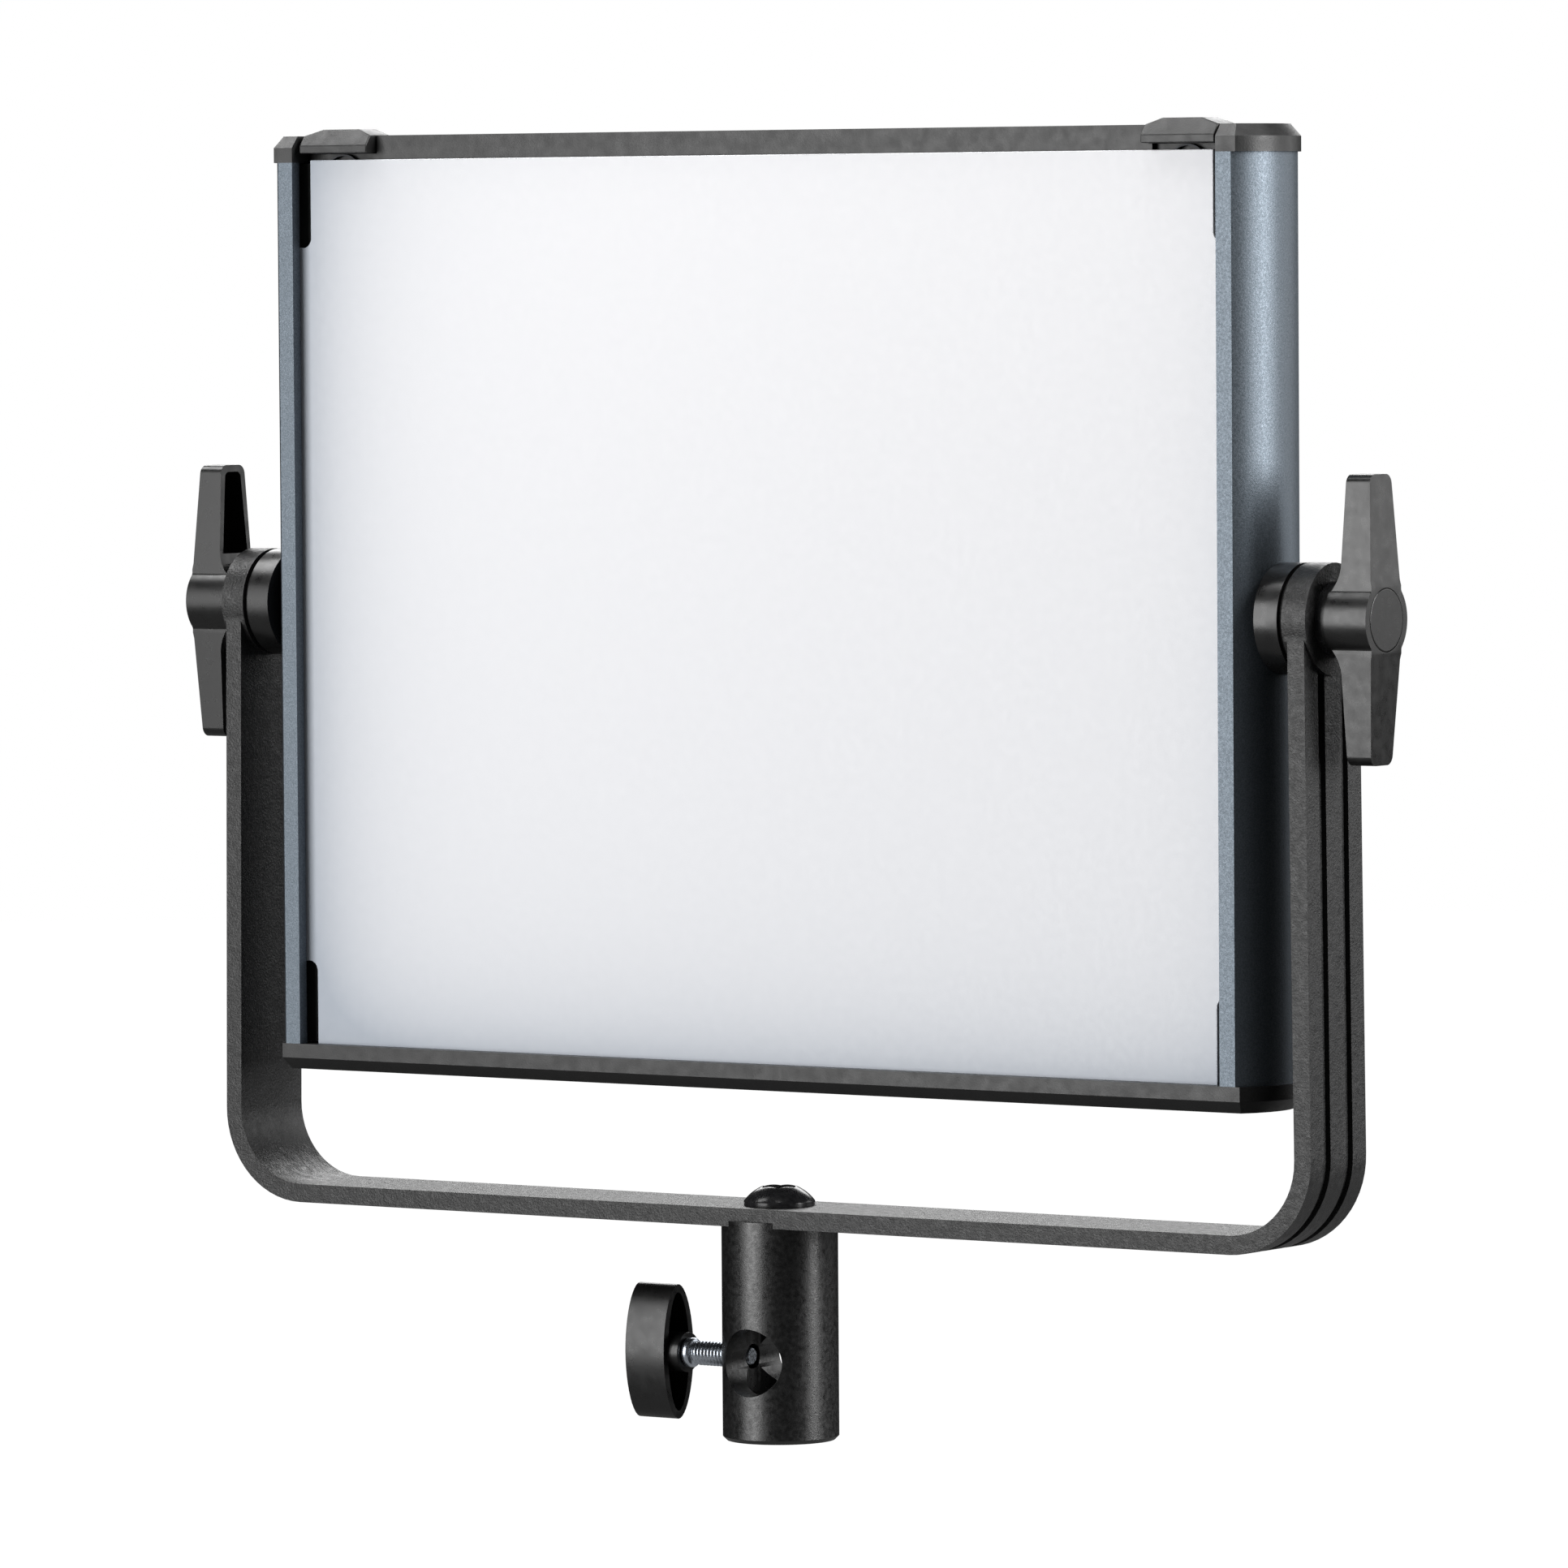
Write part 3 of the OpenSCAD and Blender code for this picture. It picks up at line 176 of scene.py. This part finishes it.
class Look:
    """A Principled material whose colour, roughness and relief come from patterns in object space."""

    def __init__(self, name, colour, metallic=0.0, roughness=0.5, **sockets):
        self.material = bpy.data.materials.new(name)
        self.material.use_nodes = True
        self.tree = self.material.node_tree
        self.shader = self.tree.nodes["Principled BSDF"]
        self.set("Base Color", (*colour, 1.0))
        self.set("Metallic", metallic)
        self.set("Roughness", roughness)
        for socket, value in sockets.items():
            self.set(socket.replace("_", " "), value)
        self.place = self.node("ShaderNodeTexCoord").outputs["Object"]
        self.relief = None

    def set(self, socket, value):
        self.shader.inputs[socket].default_value = value

    def node(self, kind, **settings):
        made = self.tree.nodes.new(kind)
        for name, value in settings.items():
            setattr(made, name, value)
        return made

    def link(self, source, target):
        self.tree.links.new(source, target)

    def noise(self, size, detail=2.0, roughness=0.5, stretch=None):
        """Noise whose features are about size across, in metres."""
        made = self.node("ShaderNodeTexNoise")
        made.inputs["Scale"].default_value = 1.0 / size
        made.inputs["Detail"].default_value = detail
        made.inputs["Roughness"].default_value = roughness
        source = self.place
        if stretch:
            mapping = self.node("ShaderNodeMapping")
            mapping.inputs["Scale"].default_value = stretch
            self.link(source, mapping.inputs["Vector"])
            source = mapping.outputs["Vector"]
        self.link(source, made.inputs["Vector"])
        return made.outputs["Fac"]

    def spread(self, source, low, high, from_low=0.3, from_high=0.7):
        """Maps the source's range onto low to high."""
        made = self.node("ShaderNodeMapRange")
        made.inputs["From Min"].default_value = from_low
        made.inputs["From Max"].default_value = from_high
        made.inputs["To Min"].default_value = low
        made.inputs["To Max"].default_value = high
        self.link(source, made.inputs["Value"])
        return made.outputs["Result"]

    def maths(self, operation, value, other=None):
        """One Math node. Each operand is a socket or a number."""
        made = self.node("ShaderNodeMath", operation=operation)
        for i, operand in enumerate((value, other)):
            if isinstance(operand, float):
                made.inputs[i].default_value = operand
            elif operand:
                self.link(operand, made.inputs[i])
        return made.outputs["Value"]

    def colour_by(self, source, low, high, low_at=0.35, high_at=0.65):
        """Runs the colour from low to high as the source goes from low_at to high_at."""
        ramp = self.node("ShaderNodeValToRGB")
        first, last = ramp.color_ramp.elements
        first.position = low_at
        first.color = (*low, 1.0)
        last.position = high_at
        last.color = (*high, 1.0)
        self.link(source, ramp.inputs["Fac"])
        self.link(ramp.outputs["Color"], self.shader.inputs["Base Color"])

    def vary_colour(self, low, high, size, detail=3.0):
        self.colour_by(self.noise(size, detail), low, high)

    def vary_roughness(self, low, high, size, stretch=None):
        varied = self.spread(self.noise(size, 3.0, stretch=stretch), low, high)
        self.link(varied, self.shader.inputs["Roughness"])

    def emboss(self, source, depth):
        """Adds relief of that depth, in metres, over any relief already there."""
        bump = self.node("ShaderNodeBump")
        bump.inputs["Distance"].default_value = depth
        bump.inputs["Strength"].default_value = 1.0
        self.link(source, bump.inputs["Height"])
        if self.relief:
            self.link(self.relief, bump.inputs["Normal"])
        self.relief = bump.outputs["Normal"]
        self.link(self.relief, self.shader.inputs["Normal"])


def scaled(tone, *channels):
    """A colour from one tone and how much of it each channel has."""
    return [tone * channel for channel in channels]


def powder_coat(name, tone, grain, depth, roughness, ior):
    """Black powder coat: a fine orange-peel grain, with a slower wave under it."""
    look = Look(name, scaled(tone, 1.0, 1.0, 1.03), roughness=roughness, IOR=ior)
    look.vary_colour(scaled(tone, 0.8, 0.8, 0.82), scaled(tone, 1.25, 1.25, 1.28), grain * 2)
    look.vary_roughness(roughness - 0.08, roughness + 0.1, grain * 3)
    look.emboss(look.noise(grain, 3.0, 0.6), depth)
    look.emboss(look.noise(grain * 5, 1.0), depth * 0.6)
    return look.material


def moulded(name, tone, grain, depth, roughness, blue):
    """Moulded plastic: a spark-eroded grain and faint cloudy changes in gloss."""
    look = Look(name, scaled(tone, 1.0, 1.0, blue), roughness=roughness)
    darker = scaled(tone * 0.88, 1.0, 1.0, blue)
    lighter = scaled(tone * 1.1, 1.0, 1.0, blue)
    look.vary_colour(darker, lighter, 4 * MM)
    look.vary_roughness(roughness - 0.05, roughness + 0.06, 3 * MM)
    look.emboss(look.noise(grain, 2.0, 0.55), depth)
    return look.material


def anodised(name):
    """Bead-blasted aluminium under blue-grey anodising."""
    look = Look(name, (0.11, 0.13, 0.15), metallic=0.82, roughness=0.46)
    look.vary_colour((0.088, 0.108, 0.125), (0.135, 0.155, 0.18), 0.35 * MM, 2.0)
    look.vary_roughness(0.40, 0.52, 0.6 * MM)
    look.emboss(look.noise(0.45 * MM, 3.0, 0.6), 0.03 * MM)
    return look.material


def plated(name, colour, roughness):
    """Plated or ground metal with fine turning marks round the X axis."""
    turning_marks = (8, 1, 1)
    look = Look(name, colour, metallic=1.0, roughness=roughness)
    look.vary_colour([c * 0.85 for c in colour], colour, 0.8 * MM)
    look.vary_roughness(roughness - 0.08, roughness + 0.12, 0.5 * MM, turning_marks)
    look.emboss(look.noise(0.3 * MM, 2.0), 0.006 * MM)
    return look.material


def black_oxide(name):
    """Oiled black oxide on steel."""
    look = Look(name, (0.014, 0.014, 0.015), roughness=0.2, IOR=1.36)
    look.vary_colour((0.011, 0.011, 0.012), (0.02, 0.02, 0.021), 1.2 * MM)
    look.vary_roughness(0.15, 0.28, 0.8 * MM)
    look.emboss(look.noise(0.5 * MM, 2.0), 0.005 * MM)
    return look.material


def frosted(name):
    """Milky sheet over a dark box, with painted shade where the box's walls shade it: cooler and darker
    towards its edges, most on the left and below, a little at the top, darker towards the bottom and at the
    top-left corner.
    """
    look = Look(name, (0.86, 0.87, 0.9), roughness=0.55)
    low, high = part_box("diffuser")
    split = look.node("ShaderNodeSeparateXYZ")
    look.link(look.place, split.inputs["Vector"])
    across, up = split.outputs["X"], split.outputs["Z"]

    def painted_edge_shade(distance, reach, amount):
        """Painted shade of that amount at an edge, which falls off over about reach, in metres."""
        decay = look.maths("MULTIPLY", look.maths("ABSOLUTE", distance), -1.0 / reach)
        return look.maths("MULTIPLY", look.maths("EXPONENT", decay), amount)

    from_left = look.maths("SUBTRACT", across, low.x)
    from_right = look.maths("SUBTRACT", across, high.x)
    above_foot = look.maths("SUBTRACT", up, low.z)
    below_top = look.maths("SUBTRACT", high.z, up)
    # Painted shade, summed: the four edges, a steady darkening from the top downwards and the top-left corner
    shade = painted_edge_shade(from_left, 17 * MM, 0.5)
    for more in (
        painted_edge_shade(from_right, 12 * MM, 0.12),
        painted_edge_shade(above_foot, 14 * MM, 0.36),
        painted_edge_shade(below_top, 6 * MM, 0.05),
        look.maths("MULTIPLY", below_top, 0.6),
        painted_edge_shade(look.maths("ADD", from_left, below_top), 35 * MM, 0.2),
    ):
        shade = look.maths("ADD", shade, more)
    # Painted shade: the sum runs the colour from lit white to shaded cool blue-grey
    look.colour_by(shade, (0.93, 0.93, 0.95), (0.43, 0.47, 0.53), 0.0, 0.55)
    look.vary_roughness(0.48, 0.62, 2 * MM)
    look.emboss(look.noise(0.4 * MM, 2.0), 0.006 * MM)
    return look.material


def circuit(name, colour):
    """Solder resist over copper tracks, which stand up a little."""
    track_pitch = 4 * MM
    look = Look(name, colour, roughness=0.35)
    tracks = look.node("ShaderNodeTexBrick")
    tracks.inputs["Scale"].default_value = 1.0 / track_pitch
    tracks.inputs["Mortar Size"].default_value = 0.08
    look.link(look.place, tracks.inputs["Vector"])
    over_copper = [min(1.0, c * 1.5 + 0.01) for c in colour]
    look.colour_by(tracks.outputs["Fac"], colour, over_copper)
    look.emboss(tracks.outputs["Fac"], 0.03 * MM)
    return look.material


def smoked_window(name):
    look = Look(name, (0.012, 0.014, 0.017), roughness=0.06, Coat_Weight=1.0, Coat_Roughness=0.03)
    look.vary_roughness(0.05, 0.1, 6 * MM)
    return look.material


def phosphor(name):
    look = Look(name, (0.8, 0.62, 0.12), roughness=0.3, Coat_Weight=0.6)
    look.vary_colour((0.72, 0.52, 0.08), (0.85, 0.68, 0.18), 0.8 * MM)
    return look.material


# Tone, size of the grain and depth of its relief in metres, roughness, index of refraction
POWDER_COATS = {
    "yoke_powder_coat": (0.006, 0.6 * MM, 0.15 * MM, 0.42, 1.5),
    "receiver_powder_coat": (0.003, 0.4 * MM, 0.03 * MM, 0.34, 1.62),
    "heat_sink_black": (0.02, 0.3 * MM, 0.02 * MM, 0.48, 1.5),
}
# Tone, size of the grain and depth of its relief in metres, roughness, how blue the tone is
MOULDINGS = {
    "cap_plastic": (0.009, 0.4 * MM, 0.03 * MM, 0.42, 1.0),
    "housing_plastic": (0.03, 0.4 * MM, 0.025 * MM, 0.5, 1.05),
    "lever_plastic": (0.005, 0.5 * MM, 0.006 * MM, 0.3, 1.0),
    "control_plastic": (0.04, 0.5 * MM, 0.008 * MM, 0.42, 1.05),
    "frame_plastic": (0.01, 0.4 * MM, 0.015 * MM, 0.6, 1.0),
    "component_plastic": (0.03, 0.5 * MM, 0.01 * MM, 0.45, 1.1),
    "nylon": (0.66, 0.6 * MM, 0.008 * MM, 0.45, 0.94),
    "friction_rubber": (0.012, 0.5 * MM, 0.02 * MM, 0.75, 1.0),
}
LOOKS = {
    **{slot: powder_coat(slot, *settings) for slot, settings in POWDER_COATS.items()},
    **{slot: moulded(slot, *settings) for slot, settings in MOULDINGS.items()},
    "rail_anodised": anodised("rail_anodised"),
    "diffuser_acrylic": frosted("diffuser_acrylic"),
    "zinc_steel": plated("zinc_steel", (0.62, 0.67, 0.74), 0.26),
    "contact_brass": plated("contact_brass", (0.75, 0.55, 0.22), 0.25),
    "black_steel": black_oxide("black_steel"),
    "circuit_board": circuit("circuit_board", (0.01, 0.09, 0.035)),
    "led_board_white": circuit("led_board_white", (0.72, 0.72, 0.7)),
    "led_phosphor": phosphor("led_phosphor"),
    "window_acrylic": smoked_window("window_acrylic"),
}


def dress(name, material):
    """Gives every face of a node that material."""
    materials = nodes[name].data.materials
    for i in range(len(materials)):
        materials[i] = material


def dress_nodes():
    """Gives each CAD node the look of its slot in the record; the catch springs are left dull."""
    for part in frame["record"]["subparts"]:
        dress(part["node"], LOOKS[part["material_slot"]])
    dress("latch_springs", plated("dull_spring_steel", (0.06, 0.062, 0.066), 0.55))


# ---------------------------------------------------------------- softened edges

# Edge radius in millimetres, and the nodes that have it
EDGE_RADII = (
    (1.0, ("top_cap", "bottom_cap")),
    (0.9, ("lever_left", "lever_right")),
    (0.7, ("clamp_knob",)),
    (0.5, ("control_housing",)),
    (0.45, ("yoke",)),
    (0.4, ("pivot_hub_left", "pivot_hub_right", "battery_release_left", "battery_release_right")),
    (0.35, ("receiver",)),
    (0.3, (
        "lever_cap_left", "lever_cap_right", "latch_left", "latch_right", "battery_plate_left",
        "battery_plate_right", "power_rocker", "button_1", "button_2", "button_3", "button_4", "dc_inlet",
    )),
    (0.25, ("receiver_bolt", "power_switch")),
    (0.2, ("side_rail_left", "side_rail_right", "diffuser", "rear_panel", "knob_left", "knob_right")),
)


def soften(name, radius):
    """Rounds a node's sharp edges, as moulding, bending and coating do."""
    node = nodes[name]
    weld = node.modifiers.new("weld", "WELD")
    weld.merge_threshold = 0.001 * MM
    flat = node.modifiers.new("flat_faces", "DECIMATE")
    flat.decimate_type = "DISSOLVE"
    flat.angle_limit = math.radians(0.5)
    bevel = node.modifiers.new("rounded_edges", "BEVEL")
    bevel.width = radius * MM
    bevel.segments = 2
    bevel.limit_method = "ANGLE"
    bevel.angle_limit = math.radians(28)
    bevel.use_clamp_overlap = True
    bevel.harden_normals = True
    normals = node.modifiers.new("even_shading", "WEIGHTED_NORMAL")
    normals.keep_sharp = False


# ---------------------------------------------------------------- clamp screw

def lathe_along_x(bm, profile, centre_z, steps):
    """Turns (x, radius) pairs about the screw's axis, with closed ends."""
    angles = [math.tau * i / steps for i in range(steps)]
    rings = [
        [bm.verts.new((x, radius * math.cos(angle), centre_z + radius * math.sin(angle))) for angle in angles]
        for x, radius in profile
    ]
    for a, b in zip(rings, rings[1:]):
        for i in range(steps):
            j = (i + 1) % steps
            bm.faces.new((a[i], a[j], b[j], b[i]))
    bm.faces.new(rings[0][::-1])
    bm.faces.new(rings[-1])


def wind_thread(bm, start_x, end_x, centre_z, pitch, crest, root, steps):
    """A ridge wound about the screw's axis, which rises over its first turn and dies out over its last."""
    # Section of the ridge: distance along the axis in pitches, and radius
    section = ((0.0, root), (0.3, root), (0.47, crest), (0.62, crest), (0.8, root))
    last = int((end_x - start_x) / pitch) * steps
    columns = []
    for k in range(last + 1):
        angle = math.tau * k / steps
        x = start_x + pitch * k / steps
        fade = min(1.0, k / steps, (last - k) / steps)
        columns.append([])
        for along, radius in section:
            faded = root + (radius - root) * fade
            columns[-1].append(bm.verts.new((
                x + along * pitch, faded * math.cos(angle), centre_z + faded * math.sin(angle),
            )))
    for a, b in zip(columns, columns[1:]):
        for i in range(len(section) - 1):
            bm.faces.new((a[i], a[i + 1], b[i + 1], b[i]))
    # The root between one turn and the next
    for a, b, next_a, next_b in zip(columns, columns[1:], columns[steps:], columns[steps + 1:]):
        bm.faces.new((a[-1], next_a[0], next_b[0], b[-1]))


def make_clamp_screw():
    """A metric thread with a collar by the knob and a plain dog point at the tip."""
    low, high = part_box("clamp_screw")
    axis_z = (low.z + high.z) / 2
    pitch = 1.0 * MM
    crest = 3.0 * MM
    root = crest - 0.61 * pitch
    core = root - 0.02 * MM
    collar_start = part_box("clamp_knob")[1].x + 0.05 * MM
    collar_end = collar_start + 2.15 * MM
    collar_radius = (high.z - low.z) / 2
    knob_side_bevel = 0.25 * MM
    thread_side_bevel = 0.5 * MM
    thread_start = collar_end - 0.4 * MM
    thread_end = high.x - 1.9 * MM
    point_radius = 2.25 * MM
    point_bevel = 0.4 * MM
    bm = bmesh.new()
    wind_thread(bm, thread_start, thread_end, axis_z, pitch, crest, root, 32)
    lathe_along_x(bm, (
        (low.x, core),
        (collar_start - 0.02 * MM, core),
        (collar_start, collar_radius - knob_side_bevel),
        (collar_start + knob_side_bevel, collar_radius),
        (collar_end - thread_side_bevel, collar_radius),
        (collar_end, collar_radius - thread_side_bevel),
        (collar_end + 0.05 * MM, core),
        (thread_end, core),
        (thread_end + 0.15 * MM, point_radius),
        (high.x - point_bevel, point_radius),
        (high.x, point_radius - point_bevel),
    ), axis_z, 48)
    bmesh.ops.recalc_face_normals(bm, faces=bm.faces)
    mesh = bpy.data.meshes.new("threaded_clamp_screw")
    bm.to_mesh(mesh)
    bm.free()
    for face in mesh.polygons:
        face.use_smooth = len(face.vertices) == 4
    mesh.materials.append(LOOKS["zinc_steel"])
    screw = bpy.data.objects.new("threaded_clamp_screw", mesh)
    bpy.context.scene.collection.objects.link(screw)
    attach(screw, "clamp_screw")
    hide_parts("clamp_screw")


# ---------------------------------------------------------------- build

make_camera()
make_light()
make_floor()
dress_nodes()
for edge_radius, part_names in EDGE_RADII:
    for part_name in part_names:
        soften(part_name, edge_radius)
make_clamp_screw()
